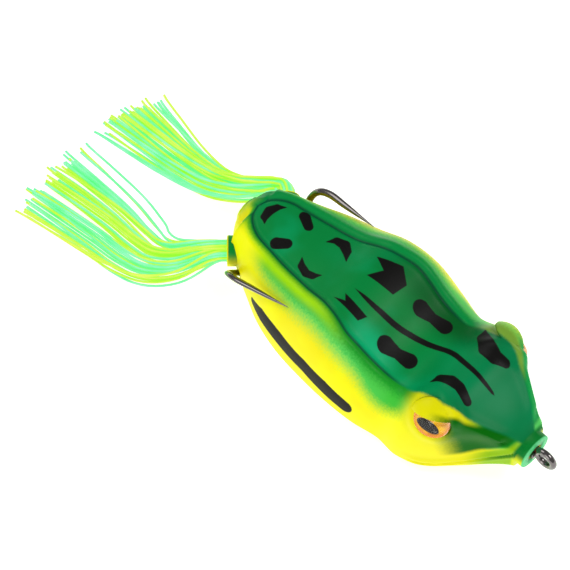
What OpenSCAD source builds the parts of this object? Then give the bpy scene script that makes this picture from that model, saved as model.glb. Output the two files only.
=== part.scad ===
// Hollow-body frog lure: a soft floating shell round a weighted double hook,
// with two skirt legs.
// Frame: the origin is the centre of the line-tie eye, the lure's nose points
// along -Y, its left side is +X, and +Z is up.

/* [Shell] */
// Wall of the soft shell
wall = 1.4; // [1:0.1:1.6]
// Outer diameter of the collar round the nose hole
nose_collar_d = 6.6; // [6:0.1:7]
// Outer diameter of the collars round the leg holes
leg_collar_d = 5.4; // [5:0.1:6]
// Bore of the leg collars
leg_bore_d = 4.1; // [3.9:0.1:4.3]
// Flat part of the belly, as a share of the width
belly_flat = 0.45; // [0.3:0.05:0.6]

/* [Hook] */
// Diameter of the hook wire
wire_d = 1.2; // [1:0.05:1.25]
// Diameter of the line-tie eye at the middle of its wire
tie_d = 3.4; // [3.3:0.1:3.6]
// Diameter of the flat land inside the line-tie eye
tie_bore_d = 2.4; // [2.3:0.1:2.5]

/* [Keel weight] */
// Length of the keel weight
weight_l = 19; // [14:1:20]
// Width of the keel weight
weight_w = 10; // [7:1:11]
// Height of the keel weight
weight_h = 3.4; // [2.6:0.2:3.6]

/* [Eyes] */
// Diameter of each eye
eye_d = 6.4; // [6:0.1:6.6]
// Thickness of the foil disc
foil_t = 0.5; // [0.3:0.1:0.6]
// Height of the clear dome over the foil
dome_h = 1.2; // [0.8:0.1:1.4]

/* [Skirts] */
// Half width of the right skirt at its tips
right_spread = 9; // [6:0.2:9.2]
// Half width of the left skirt at its tips
left_spread = 6; // [4:0.2:6.2]
// Radius of a tuft of strands at the collar
tuft_r = 0.5; // [0.4:0.05:0.52]
// Radius of a tuft of strands at its tips
tip_r = 0.7; // [0.5:0.05:0.8]

/* [Hidden] */
$fn = 48;

// Cross-sections from nose to tail: distance behind the line tie, half width,
// height of the widest line, height of the belly, half width of the back
// ridge, and height of that ridge.
STATIONS = [
    [2.1, 3.4, -2.1, -3.6, 1.6, -0.4],
    [3.6, 3.9, -2.4, -4.2, 2.8, 1.6],
    [6.6, 5.6, -3.5, -5.3, 4.7, 4.5],
    [11.1, 8.9, -5.1, -6.8, 7.0, 6.8],
    [16.1, 12.4, -6.8, -8.2, 8.6, 8.6],
    [20.6, 13.8, -7.4, -9.1, 8.0, 6.5],
    [25.1, 13.5, -7.6, -9.4, 7.9, 4.1],
    [30.1, 14.6, -6.8, -9.6, 8.3, 4.9],
    [36.1, 15.2, -5.5, -9.6, 8.6, 8.2],
    [42.1, 14.9, -5.3, -9.6, 7.5, 9.2],
    [48.1, 14.0, -5.7, -9.6, 6.3, 6.6],
    [54.1, 12.3, -5.6, -9.3, 5.6, 5.6],
    [59.1, 9.9, -5.2, -8.6, 4.9, 5.4],
    [62.6, 8.2, -3.7, -7.2, 4.3, 5.3],
    [65.0, 6.1, -2.1, -5.6, 3.5, 4.7],
    [66.8, 4.0, -0.6, -3.8, 2.4, 3.8],
    [67.9, 1.9, 0.4, -1.4, 1.0, 2.4]];
CROWN = 0.6;        // rise of the back between its two ridges
NOSE_Z = -0.7;      // height of the hole in the nose
COLLAR_FRONT = 2.2; // how far the nose collar's face lies behind the line tie

// Centre of each leg collar's outer face, for the left side, and its direction.
LEG_FACE = [7.2, 66.0, -2.2];
LEG_DIR = [0.69, 0.724, 0];
// Centre of the left eye and the way it looks.
EYE = [10.3, 16.3, 6.6];
EYE_DIR = [0.80, -0.26, 0.54];

// Middle line of one half of the hook, from the line tie to the point.
HOOK_PATH = [
    [0.6, 1.7, -0.6], [0.6, 5.0, -0.7], [0.65, 8.0, -1.2], [0.85, 13.0, -3.7],
    [0.9, 19.0, -5.7], [0.9, 23.2, -5.8], [0.9, 43.6, -5.8], [0.9, 47.4, -5.8],
    [1.6, 52.0, -5.8], [3.2, 57.0, -5.6], [5.6, 60.5, -5.1], [8.4, 62.2, -3.6],
    [10.3, 62.6, -1.7], [11.2, 61.5, 0.3], [11.5, 59.2, 1.6], [11.2, 55.6, 2.7],
    [10.9, 51.8, 3.8], [10.6, 48.3, 4.9]];

// Middle line of each skirt, from its collar to the tips.
RIGHT_LEG = [
    [-7.9, 66.8, -2.2], [-10.4, 69.6, -3.4], [-13.6, 72.9, -5.3],
    [-15.2, 76.6, -6.8], [-15.4, 81.0, -7.7], [-15.3, 87.0, -8.1],
    [-15.8, 94.0, -8.2], [-16.5, 101.0, -8.3]];
LEFT_LEG = [
    [7.9, 66.9, -2.1], [7.7, 68.8, -2.1], [6.0, 71.2, -2.9],
    [4.3, 74.6, -4.5], [3.2, 79.5, -6.4], [3.0, 86.5, -7.7],
    [3.1, 93.5, -8.1], [3.2, 100.4, -8.3]];
// Each tuft's place in the neck (across, up) and in the fan (across, up).
TUFTS = [
    [-1.06,  0.0, -1.00,  0.0], [-0.53,  0.92, -0.66, 0.9], [-0.53, -0.92, -0.33, -0.1],
    [ 0.0,   0.0,  0.00,  0.8], [ 0.53, -0.92,  0.33, -0.1], [ 0.53,  0.92,  0.66, 0.9],
    [ 1.06,  0.0,  1.00,  0.0]];
FAN_GROWTH = 1.15;  // how evenly a skirt widens from its collar to its tips
LIME = [0, 2, 4, 6];
MINT = [1, 3, 5];

// ---- curves through a few points ----
function span(rows, y, i = 0) =
    (i >= len(rows) - 2 || y <= rows[i + 1][0]) ? i : span(rows, y, i + 1);
function grade(rows, k, i) =
    let (a = max(i - 1, 0), b = min(i + 1, len(rows) - 1))
    (rows[b][k] - rows[a][k]) / (rows[b][0] - rows[a][0]);
function at(k, y) =
    let (i = span(STATIONS, y), a = STATIONS[i], b = STATIONS[i + 1], h = b[0] - a[0],
         t = (y - a[0]) / h, t2 = t * t, t3 = t2 * t)
    (2 * t3 - 3 * t2 + 1) * a[k] + (t3 - 2 * t2 + t) * h * grade(STATIONS, k, i)
    + (3 * t2 - 2 * t3) * b[k] + (t3 - t2) * h * grade(STATIONS, k, i + 1);
function through(p, i, t) =
    let (a = p[max(i - 1, 0)], b = p[i], c = p[i + 1], d = p[min(i + 2, len(p) - 1)])
    b + t * (0.5 * (c - a) + t * ((a - 2.5 * b + 2 * c - 0.5 * d)
    + t * (1.5 * (b - c) + 0.5 * (d - a))));
function smooth(p, n) =
    concat([for (i = [0 : len(p) - 2], j = [0 : n - 1]) through(p, i, j / n)], [p[len(p) - 1]]);
function unit(v) = v / norm(v);
function mirrored(p, side) = [for (q = p) [side * q[0], q[1], q[2]]];

// ---- closed skins over rings of points ----
function ring_faces(rings, n) = concat(
    [[for (j = [0 : n - 1]) j]],
    [for (i = [0 : rings - 2], j = [0 : n - 1], half = [0, 1])
        let (a = i * n + j, b = i * n + (j + 1) % n, c = a + n, d = b + n)
        half == 0 ? [a, d, b] : [a, c, d]],
    [[for (j = [n - 1 : -1 : 0]) (rings - 1) * n + j]]);

// Half of one cross-section of the shell, from the top of the back to the keel.
function half_section(y, inset) =
    let (w = at(1, y) - inset, belly = at(3, y) + inset, widest = max(at(2, y), belly + 0.8),
         ridge_x = min(at(4, y), w * 0.9) - 0.3 * inset, ridge_z = at(5, y) - inset,
         flat = belly_flat * w)
    concat(
        [for (s = [0, 0.5]) [s * ridge_x, ridge_z + CROWN * (1 - s * s)]],
        [for (a = [0 : 15 : 90])
            [ridge_x + (w - ridge_x) * sin(a), widest + (ridge_z - widest) * cos(a)]],
        [for (a = [18 : 18 : 90])
            [flat + (w - flat) * cos(a), widest - (widest - belly) * sin(a)]],
        [[0, belly + 0.1]]);
function section(y, inset) =
    let (h = half_section(y, inset), n = len(h))
    concat([for (p = h) [p[0], y, p[1]]],
           [for (i = [n - 2 : -1 : 1]) [-h[i][0], y, h[i][1]]]);
module loft(ys, inset) {
    rings = [for (y = ys) section(y, inset)];
    n = len(rings[0]);
    polyhedron([for (r = rings, p = r) p], ring_faces(len(rings), n));
}

// A round bar of changing radius along a path; side_way stays across the bar.
module bar(path, radii, side_way, n) {
    last = len(path) - 1;
    rings = [for (i = [0 : last])
        let (t = unit(path[min(i + 1, last)] - path[max(i - 1, 0)]),
             u = unit(cross(t, side_way)), v = cross(t, u))
        [for (j = [0 : n - 1])
            path[i] + radii[i] * (cos(360 * j / n) * u + sin(360 * j / n) * v)]];
    polyhedron([for (r = rings, p = r) p], ring_faces(last + 1, n));
}

// Puts +Z of the children along a direction, at a place.
module along(place, way) {
    translate(place)
        rotate([0, acos(way[2] / norm(way)), atan2(way[1], way[0])])
            children();
}
function leg_face(side) = [side * LEG_FACE[0], LEG_FACE[1], LEG_FACE[2]];
function leg_dir(side) = [side * LEG_DIR[0], LEG_DIR[1], LEG_DIR[2]];
function eye_at(side) = [side * EYE[0], EYE[1], EYE[2]];
function eye_dir(side) = [side * EYE_DIR[0], EYE_DIR[1], EYE_DIR[2]];

// Outer rings stand closer together where the nose and the tail round off.
OUTER_YS = concat([2.8], [for (y = [3.6 : 2 : 61.6]) y], [63, 64.4, 65.6, 66.8, 67.4, 67.9]);
INNER_YS = [for (y = [7.2 : 3 : 62]) y];
POCKET = 1.0;       // depth of an eye pocket below the foil's front face
SOCKET = 4.6;       // length of a leg collar, most of it inside the shell
BAND_ROOM = 5.6;    // width of the space inside the shell behind each leg collar

module body_shell() {
    color([0.05, 0.62, 0.32])
    difference() {
        union() {
            difference() {
                loft(OUTER_YS, 0);
                loft(INNER_YS, wall);
            }
            translate([0, COLLAR_FRONT, NOSE_Z]) rotate([-90, 0, 0])
                cylinder(d = nose_collar_d, h = 4);
            for (s = [-1, 1]) {
                along(leg_face(s) - SOCKET * leg_dir(s), leg_dir(s))
                    cylinder(d = leg_collar_d, h = SOCKET);
                along(eye_at(s) - 2.4 * eye_dir(s), eye_dir(s))
                    cylinder(d = eye_d + 2, h = 1.6);
            }
        }
        // nose hole
        translate([0, 0, NOSE_Z]) rotate([-90, 0, 0])
            cylinder(d = 3.2, h = 9);
        for (s = [-1, 1]) {
            // leg holes, with room for the band behind each collar
            along(leg_face(s) - 6 * leg_dir(s), leg_dir(s))
                cylinder(d = leg_bore_d, h = 8);
            along(leg_face(s) - 7.4 * leg_dir(s), leg_dir(s))
                cylinder(d = BAND_ROOM, h = 7.4 - SOCKET);
            // eye pockets
            along(eye_at(s) - POCKET * eye_dir(s), eye_dir(s))
                cylinder(d = eye_d + 0.6, h = 6);
            // slot that the hook's bend comes out of
            along([s * 4.2, 59.7, -5.7], [s * 2.8, 1.7, 1.4])
                cylinder(d = wire_d + 1.1, h = 8);
        }
    }
}

module nose_seal() {
    color([0.75, 0.55, 0.2])
    difference() {
        translate([0, COLLAR_FRONT + 0.3, NOSE_Z]) rotate([-90, 0, 0])
            cylinder(d = 3.16, h = 2);
        for (s = [-1, 1]) hook_half(s, 0.03);
    }
}

// One half of the hook wire; extra thickens it.
module hook_half(side, extra) {
    path = smooth(HOOK_PATH, 3);
    last = len(path) - 1;
    taper = 9;
    radii = [for (i = [0 : last])
        let (left = last - i)
        left >= taper ? wire_d / 2 : 0.07 + (wire_d / 2 - 0.07) * sin(90 * left / taper)];
    bar(mirrored(path, side), [for (r = radii) r + extra], [side * -0.45, 0, 0.9], 10);
}

module double_hook() {
    color([0.16, 0.16, 0.18]) {
        difference() {
            rotate([0, 90, 0]) rotate_extrude()
                translate([tie_d / 2, 0]) circle(d = wire_d, $fn = 24);
            rotate([0, 90, 0]) cylinder(d = tie_bore_d, h = 4, center = true);
        }
        for (s = [-1, 1]) hook_half(s, 0);
    }
}

module keel_weight() {
    r = weight_h / 2;
    color([0.5, 0.5, 0.52])
    translate([0, 33.6, -6])
        difference() {
            hull() for (s = [-1, 1], t = [-1, 1])
                translate([s * (weight_w / 2 - r), t * (weight_l / 2 - r), 0])
                    sphere(r = r, $fn = 20);
            for (s = [-1, 1])
                translate([s * 0.9, 0, 0.2]) rotate([90, 0, 0])
                    cylinder(d = wire_d + 0.1, h = weight_l + 2, center = true);
        }
}

module eye_foil(side) {
    color([0.95, 0.7, 0.15])
    along(eye_at(side) - foil_t * eye_dir(side), eye_dir(side))
        cylinder(d = eye_d, h = foil_t);
}

module eye_dome(side) {
    r = eye_d / 2;
    ball = (r * r + dome_h * dome_h) / (2 * dome_h);
    color([0.95, 0.95, 0.9, 0.5])
    along(eye_at(side), eye_dir(side))
        intersection() {
            translate([0, 0, dome_h - ball]) sphere(r = ball, $fn = 64);
            translate([0, 0, 0.01]) cylinder(r = r + 1, h = dome_h + 1);
        }
}

module skirt_band(side) {
    color([0.1, 0.1, 0.1])
    along(leg_face(side) - (SOCKET + 0.8) * leg_dir(side), leg_dir(side))
        rotate_extrude() translate([2.05, 0]) circle(r = 0.4, $fn = 20);
}

// The bundled roots of the strands, inside the collar and the band.
module skirt_neck(side) {
    color([0.7, 1, 0.45])
    along(leg_face(side) - 6.4 * leg_dir(side), leg_dir(side))
        for (g = TUFTS)
            translate([g[1], g[0], 0]) cylinder(r = tuft_r, h = 6.3);
}

module skirt(leg, side, spread, tufts) {
    middle = smooth(leg, 3);
    last = len(middle) - 1;
    neck = 1;
    for (k = tufts)
        bar([for (i = [0 : last])
                let (t = unit(middle[min(i + 1, last)] - middle[max(i - 1, 0)]),
                     across = unit(cross(t, [0, 0, 1])), up = cross(across, t),
                     f = i < neck ? 0 : pow((i - neck) / (last - neck), FAN_GROWTH),
                     g = TUFTS[k])
                middle[i] + across * (g[0] * (1 - f) + side * g[2] * spread * f)
                    + up * (g[1] * (1 - f) + g[3] * f)],
            [for (i = [0 : last]) tuft_r + (tip_r - tuft_r) * i / last],
            [0, 0, 1], 8);
}

body_shell();
nose_seal();
double_hook();
keel_weight();
eye_foil(-1);  // right_eye_foil
eye_foil(1);  // left_eye_foil
eye_dome(-1);  // right_eye_dome
eye_dome(1);  // left_eye_dome
skirt_band(-1);  // right_skirt_band
skirt_band(1);  // left_skirt_band
skirt_neck(-1);  // right_skirt_neck
skirt_neck(1);  // left_skirt_neck
color([0.85, 1, 0.3]) skirt(RIGHT_LEG, 1, right_spread, LIME);  // right_skirt_lime
color([0.45, 1, 0.65]) skirt(RIGHT_LEG, 1, right_spread, MINT);  // right_skirt_mint
color([0.85, 1, 0.3]) skirt(LEFT_LEG, 1, left_spread, LIME);  // left_skirt_lime
color([0.45, 1, 0.65]) skirt(LEFT_LEG, 1, left_spread, MINT);  // left_skirt_mint
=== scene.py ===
"""Hollow-body frog lure: painted soft shell, double hook, foil eyes and two silicone skirts."""
import math
import random

import bmesh
import bpy
from mathutils import Matrix, Vector


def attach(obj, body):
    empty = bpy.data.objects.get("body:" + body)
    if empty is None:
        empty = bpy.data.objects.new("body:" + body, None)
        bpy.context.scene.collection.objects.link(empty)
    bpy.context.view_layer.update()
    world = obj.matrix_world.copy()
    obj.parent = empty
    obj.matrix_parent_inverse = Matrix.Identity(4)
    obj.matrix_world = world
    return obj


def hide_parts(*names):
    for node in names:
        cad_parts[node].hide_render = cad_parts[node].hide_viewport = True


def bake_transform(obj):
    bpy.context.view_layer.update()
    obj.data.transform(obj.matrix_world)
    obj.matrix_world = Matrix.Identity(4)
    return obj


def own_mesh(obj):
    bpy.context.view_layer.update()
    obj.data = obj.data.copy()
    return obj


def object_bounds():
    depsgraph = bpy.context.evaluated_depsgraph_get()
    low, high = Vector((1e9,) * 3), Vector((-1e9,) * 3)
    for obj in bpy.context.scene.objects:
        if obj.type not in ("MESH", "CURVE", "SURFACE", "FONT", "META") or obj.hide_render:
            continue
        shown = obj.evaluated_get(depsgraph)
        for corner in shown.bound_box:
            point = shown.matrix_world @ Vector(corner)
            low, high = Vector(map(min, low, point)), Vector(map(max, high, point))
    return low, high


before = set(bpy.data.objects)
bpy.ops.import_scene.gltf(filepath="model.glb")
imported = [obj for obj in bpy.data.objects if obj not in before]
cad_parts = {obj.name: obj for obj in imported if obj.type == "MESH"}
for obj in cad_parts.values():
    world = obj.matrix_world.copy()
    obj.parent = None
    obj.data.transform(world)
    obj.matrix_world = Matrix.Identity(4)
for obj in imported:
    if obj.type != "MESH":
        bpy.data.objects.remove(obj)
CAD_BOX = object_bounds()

bl_info = {
    "name": "Hollow-body frog lure",
    "version": (1, 0, 0),
    "blender": (4, 5, 0),
    "location": "View3D > Sidebar > Frog lure",
    "description": "Builds a soft frog lure with its hook, eyes and skirts, and the stage it lies on",
    "category": "Object",
}

MM = 0.001

# ---------------------------------------------------------------- shape of the shell
# Cross-sections from nose to tail in millimetres: distance behind the line tie,
# half width, height of the widest line, of the belly, half width of the back, height of the back.
STATIONS = [
    (2.1, 3.4, -2.1, -3.6, 1.6, -0.4),
    (3.6, 3.7, -1.8, -3.8, 2.8, 1.6),
    (6.6, 5.5, -2.9, -4.9, 4.7, 4.5),
    (11.1, 8.9, -5.1, -6.8, 7.0, 6.8),
    (16.1, 12.4, -6.8, -8.2, 8.6, 8.6),
    (20.6, 13.8, -7.4, -9.1, 8.0, 6.5),
    (25.1, 13.5, -7.6, -9.4, 7.9, 4.1),
    (30.1, 14.6, -6.8, -9.6, 8.3, 4.9),
    (36.1, 15.2, -5.5, -9.6, 8.6, 8.2),
    (42.1, 14.9, -5.3, -9.6, 7.5, 9.2),
    (48.1, 14.0, -5.7, -9.6, 6.3, 6.6),
    (54.1, 12.3, -5.6, -9.3, 5.6, 5.6),
    (59.1, 9.9, -5.2, -8.6, 4.9, 5.4),
    (62.6, 8.2, -3.7, -7.2, 4.3, 5.3),
    (65.0, 6.8, -2.1, -5.6, 3.8, 4.7),
    (66.8, 4.8, -0.6, -3.8, 3.0, 3.8),
    (67.9, 2.7, 0.4, -1.4, 1.7, 2.4),
]
CROWN = 0.6           # rise of the back between its two ridges
BELLY_FLAT = 0.45     # flat part of the belly, as a share of the width
FLOOR = -9.6          # height of what the strands come to rest on
WALL = 1.4            # thickness of the skin
HOLLOW_START = 7.2    # where the space inside begins
HOLLOW_STEP = 2.74    # distance between its cross-sections
HOLLOW_RINGS = 21

# Nose collar: its hole's height, the place of its face, and where the skin behind it begins.
NOSE_Z = -0.7
COLLAR_FRONT = 2.2
SKIN_FRONT = 3.7
COLLAR_R = 3.3
COLLAR_LONG = 4.2
NOSE_HOLE_R = 1.6
SOFT_EDGE = 0.14      # rounding of every collar's rim

# Leg collars: centre of the left one's face, its direction, radius, length and bore.
LEG_FACE = Vector((7.2, 66.0, -2.2))
LEG_DIR = Vector((0.69, 0.724, 0.0)).normalized()
SEAT_R = 2.7
SEAT_LONG = 4.6
SEAT_BORE_R = 2.05

# Eyes: centre of the left one, the way it looks, and the sizes of its foil, lens and pocket.
EYE = Vector((10.3, 16.3, 6.6))
EYE_DIR = Vector((0.80, -0.26, 0.54)).normalized()
EYE_R = 3.2
FOIL_THICK = 0.5
FOIL_EDGE = 0.12
LENS_HIGH = 1.2
POCKET_R = 3.45
POCKET_DEEP = 0.6

# Lid: a piece of a dome that lies just over the lens and sinks into the skin round it.
LID_R = 4.1
LID_HIGH = 2.16
LID_DROP = 0.86
LID_THICK = 0.45
LID_EDGE = 1.0        # distance of its edge above the middle of the eye
LID_TILT = 0.12

# Slit that the left bend of the hook comes out of.
SLIT_START = Vector((4.8, 60.0, -5.5))
SLIT_DIR = Vector((2.8, 1.7, 1.4)).normalized()
SLIT_R = 1.1

# Diameters of the hook wire and the line-tie loop, and the middle line of the hook's left half.
WIRE = 1.2
TIE = 3.4
POINT_R = 0.03
POINT_RINGS = 26      # rings over which the wire narrows to its point
HOOK_PATH = [
    (0.6, 1.7, -0.6), (0.6, 5.0, -0.7), (0.65, 8.0, -1.2), (0.85, 13.0, -3.7),
    (0.9, 19.0, -5.7), (0.9, 23.2, -5.8), (0.9, 43.6, -5.8), (0.9, 47.4, -5.8),
    (1.6, 52.0, -5.8), (3.2, 57.0, -5.6), (5.6, 60.5, -5.1), (8.4, 62.2, -3.6),
    (10.3, 62.6, -1.7), (11.2, 61.5, 0.3), (11.5, 59.2, 1.6), (11.2, 55.6, 2.7),
    (10.9, 51.8, 3.8), (10.6, 48.3, 4.9),
]
# Middle line of each skirt, from its collar to the tips.
RIGHT_LEG = [
    (-7.9, 66.8, -2.2), (-10.4, 69.6, -3.4), (-13.6, 72.9, -5.3), (-15.2, 76.6, -6.8),
    (-15.4, 81.0, -7.7), (-15.3, 87.0, -8.1), (-15.8, 94.0, -8.2), (-16.5, 101.0, -8.3),
]
LEFT_LEG = [
    (7.9, 66.9, -2.1), (7.7, 68.8, -2.1), (6.0, 71.2, -2.9), (4.3, 74.6, -4.5),
    (3.2, 79.5, -6.4), (3.0, 86.5, -7.7), (3.1, 93.5, -8.1), (3.2, 100.4, -8.3),
]


def clamp(v, low=0.0, high=1.0):
    return max(low, min(high, v))


def ease(low, high, v):
    """Smooth step from 0 at low to 1 at high."""
    t = clamp((v - low) / (high - low))
    return t * t * (3 - 2 * t)


def bump(v, middle, width):
    """A bell of height 1 round a middle."""
    return math.exp(-((v - middle) / width) ** 2)


def curve_at(rows, column, y):
    """Reads one column of a table of rows at y, with a smooth curve through the rows."""
    last = len(rows) - 1
    i = 0
    while i < last - 1 and y > rows[i + 1][0]:
        i += 1

    def grade(k):
        a, b = rows[max(k - 1, 0)], rows[min(k + 1, last)]
        return (b[column] - a[column]) / (b[0] - a[0])

    a, b = rows[i], rows[i + 1]
    h = b[0] - a[0]
    t = clamp((y - a[0]) / h)
    t2, t3 = t * t, t * t * t
    return ((2 * t3 - 3 * t2 + 1) * a[column] + (t3 - 2 * t2 + t) * h * grade(i)
            + (3 * t2 - 2 * t3) * b[column] + (t3 - t2) * h * grade(i + 1))


def smooth_path(points, steps):
    """A smooth line through a few points, with steps places between each two."""
    p = [Vector(q) for q in points]
    line = []
    for i in range(len(p) - 1):
        a, b, c, d = p[max(i - 1, 0)], p[i], p[i + 1], p[min(i + 2, len(p) - 1)]
        for k in range(steps):
            t = k / steps
            line.append(b + t * (0.5 * (c - a) + t * ((a - 2.5 * b + 2 * c - 0.5 * d)
                        + t * (1.5 * (b - c) + 0.5 * (d - a)))))
    line.append(p[-1])
    return line


def mirrored(points, side):
    """A list of the left side's points, put on either side."""
    return [Vector((side * p[0], p[1], p[2])) for p in points]


def sided(v, side):
    """A place or direction of the left side, put on either side: 1 is left, -1 is right."""
    return Vector((side * v.x, v.y, v.z))


# ---------------------------------------------------------------- the shell's surface
# Half width of the inset back panel, which the groove follows, from the head to the tail.
PANEL = [(19.1, 8.4), (23.8, 7.8), (27.6, 8.0), (30.6, 8.2), (33.7, 8.5), (36.7, 8.6), (40.1, 7.8),
         (44.8, 6.8), (49.7, 6.0), (53.9, 5.5), (57.8, 4.9), (60.6, 4.5)]
PANEL_END = 65.4
# Half width of the flat top of the head, whose edge is the brow.
BROW = [(3.5, 1.2), (5.1, 2.2), (7.0, 3.7), (9.0, 4.9), (11.4, 6.1), (13.6, 7.1), (16.2, 8.1), (19.9, 7.6),
        (22.5, 8.1), (24.7, 8.8)]


def panel_half(y):
    """Half width of the back panel; its tail end is half an ellipse."""
    last = PANEL[-1]
    if y < last[0]:
        return curve_at(PANEL, 1, y)
    s = clamp((y - last[0]) / (PANEL_END - last[0]))
    return (last[1] - 0.9 * s) * max(1 - s * s, 0.0) ** 0.42


def panel_distance(x, y):
    """Distance outside the back panel's outline, seen from above; negative inside it."""
    if y > PANEL_END:
        return math.hypot(x, y - PANEL_END)
    step = 0.15
    slope = (panel_half(min(y + step, PANEL_END)) - panel_half(y - step)) / (2 * step)
    return (abs(x) - panel_half(y)) / math.hypot(1.0, slope)


def station(y):
    """Half width, widest height, belly height, back half width and back height at y."""
    y = clamp(y, STATIONS[0][0], STATIONS[-1][0])
    return [curve_at(STATIONS, k, y) for k in range(1, 6)]


def outline(y, inset, counts):
    """Half of one cross-section, from the top of the back down to the keel."""
    w, widest, belly, ridge_x, ridge_z = station(y)
    w -= inset
    belly += inset
    widest = max(widest, belly + 0.8)
    ridge_z -= inset
    ridge_x = min(ridge_x, w * 0.9) - 0.3 * inset
    flat = BELLY_FLAT * w
    top, side, under, keel = counts
    points = [(ridge_x * s / top, ridge_z + CROWN * (1 - (s / top) ** 2)) for s in range(top)]
    for s in range(side):
        a = math.pi / 2 * s / side
        points.append((ridge_x + (w - ridge_x) * math.sin(a), widest + (ridge_z - widest) * math.cos(a)))
    for s in range(under):
        a = math.pi / 2 * s / under
        points.append((flat + (w - flat) * math.cos(a), widest - (widest - belly) * math.sin(a)))
    points += [(flat * (1 - s / keel), belly) for s in range(keel)]
    points.append((0.0, belly))
    return points


def ring(y, inset, counts):
    """A whole cross-section as points, clockwise seen from behind."""
    half = outline(y, inset, counts)
    right = [(-x, z) for x, z in half[-2:0:-1]]
    return [Vector((x, y, z)) for x, z in half + right]


def girth(x, y, z):
    """Where a point lies round the shell: 0 mid back, 1 ridge, 2 widest line, 3 keel."""
    w, widest, belly, ridge_x, ridge_z = station(y)
    ax = abs(x)
    if z < widest:
        return 2 + clamp((widest - z) / max(widest - belly, 0.1))
    across = (ax - ridge_x) / max(w - ridge_x, 0.1)
    if across <= 0:
        return clamp(ax / max(ridge_x, 0.1))
    return 1 + math.atan2(across, max((z - widest) / max(ridge_z - widest, 0.1), 0.0)) / (math.pi / 2)


def tube_of_rings(rings):
    """Starts from a circle and extrudes it ring by ring; both ends are filled."""
    n = len(rings[0])
    bm = bmesh.new()
    bmesh.ops.create_circle(bm, segments=n, radius=1.0)
    bm.verts.ensure_lookup_table()
    order = {v: i for i, v in enumerate(bm.verts)}
    for v, i in order.items():
        v.co = rings[0][i]
    edges = bm.edges[:]
    first = edges
    for points in rings[1:]:
        grown = bmesh.ops.extrude_edge_only(bm, edges=edges)["geom"]
        fresh = {g for g in grown if isinstance(g, bmesh.types.BMVert)}
        edges = [g for g in grown if isinstance(g, bmesh.types.BMEdge)
                 and g.verts[0] in fresh and g.verts[1] in fresh]
        matched = {}
        for v in fresh:
            for e in v.link_edges:
                old = e.other_vert(v)
                if old not in fresh and old in order:
                    matched[v] = order[old]
        for v, i in matched.items():
            v.co = points[i]
        order = matched
    bmesh.ops.contextual_create(bm, geom=first)
    bmesh.ops.contextual_create(bm, geom=edges)
    bmesh.ops.recalc_face_normals(bm, faces=bm.faces)
    return bm


def frames_along(line, side_way):
    """Two directions across a line at each of its places."""
    last = len(line) - 1
    frames = []
    for i in range(last + 1):
        t = (line[min(i + 1, last)] - line[max(i - 1, 0)]).normalized()
        u = t.cross(side_way).normalized()
        frames.append((u, t.cross(u)))
    return frames


def bar(line, radii, side_way, sides, flatten=None):
    """A bar of changing thickness along a line; flatten gives each ring's share of its height."""
    rings = []
    for i, (u, v) in enumerate(frames_along(line, side_way)):
        squeeze = flatten[i] if flatten else 1.0
        rings.append([line[i] + radii[i] * (math.cos(a) * u / squeeze ** 0.5 + math.sin(a) * v * squeeze)
                      for a in (2 * math.pi * k / sides for k in range(sides))])
    return tube_of_rings(rings)


def along(place, way):
    """A matrix that puts +Z along a direction, at a place."""
    return Matrix.Translation(place) @ way.to_track_quat("Z", "Y").to_matrix().to_4x4()


def rod(radius, low, high, matrix, sides=48, round_off=0.0):
    """A round rod between two heights on its own axis, with rounded edges if asked."""
    bm = bmesh.new()
    bmesh.ops.create_cone(bm, cap_ends=True, segments=sides, radius1=radius, radius2=radius,
                          depth=high - low, matrix=Matrix.Translation((0, 0, (low + high) / 2)))
    if round_off:
        rims = [e for e in bm.edges if abs(e.verts[0].co.z - e.verts[1].co.z) < 1e-6]
        bmesh.ops.bevel(bm, geom=rims, offset=round_off, segments=3, profile=0.5, affect="EDGES",
                        material=-1)
    bmesh.ops.transform(bm, matrix=matrix, verts=bm.verts)
    return bm


def joined(parts):
    """Several meshes as one, each still a closed solid of its own."""
    bm = bmesh.new()
    for part in parts:
        mesh = bpy.data.meshes.new("part")
        part.to_mesh(mesh)
        part.free()
        bm.from_mesh(mesh)
        bpy.data.meshes.remove(mesh)
    return bm


def new_object(name, bm):
    """Makes an object from a mesh in millimetres."""
    bmesh.ops.scale(bm, vec=(MM, MM, MM), verts=bm.verts)
    for face in bm.faces:
        face.smooth = True
    mesh = bpy.data.meshes.new(name)
    bm.to_mesh(mesh)
    bm.free()
    piece = bpy.data.objects.new(name, mesh)
    bpy.context.collection.objects.link(piece)
    return piece


def carve(piece, cutter_bm, operation):
    """Joins a mesh to a piece or cuts it away, and applies the result."""
    cutter = new_object("cutter", cutter_bm)
    cut = piece.modifiers.new("carve", "BOOLEAN")
    cut.operation = operation
    cut.solver = "EXACT"
    cut.use_self = operation == "UNION"
    cut.object = cutter
    apply_modifiers(piece)
    bpy.data.objects.remove(cutter)


def apply_modifiers(piece):
    """Turns what the modifiers show into the piece's own mesh."""
    graph = bpy.context.evaluated_depsgraph_get()
    mesh = bpy.data.meshes.new_from_object(piece.evaluated_get(graph))
    piece.modifiers.clear()
    old = piece.data
    piece.data = mesh
    mesh.name = piece.name
    bpy.data.meshes.remove(old)


def finish_piece(piece, body, slot, material, *nodes):
    """Gives a piece its material and body, and hides the nodes that it stands for; the slot is not used."""
    piece.data.materials.clear()
    piece.data.materials.append(material)
    if body:
        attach(piece, body)
    if nodes:
        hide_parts(*nodes)


# ---------------------------------------------------------------- sculpting
NOSTRIL = Vector((4.2, 5.8, 3.6))
# Height of the mouth line along the snout.
MOUTH = [(2.6, 1.6), (3.7, 1.4), (5.7, -0.2), (7.4, -1.4), (10.2, -3.3), (13.0, -5.0),
         (16.0, -6.2), (19.0, -6.8)]


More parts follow.
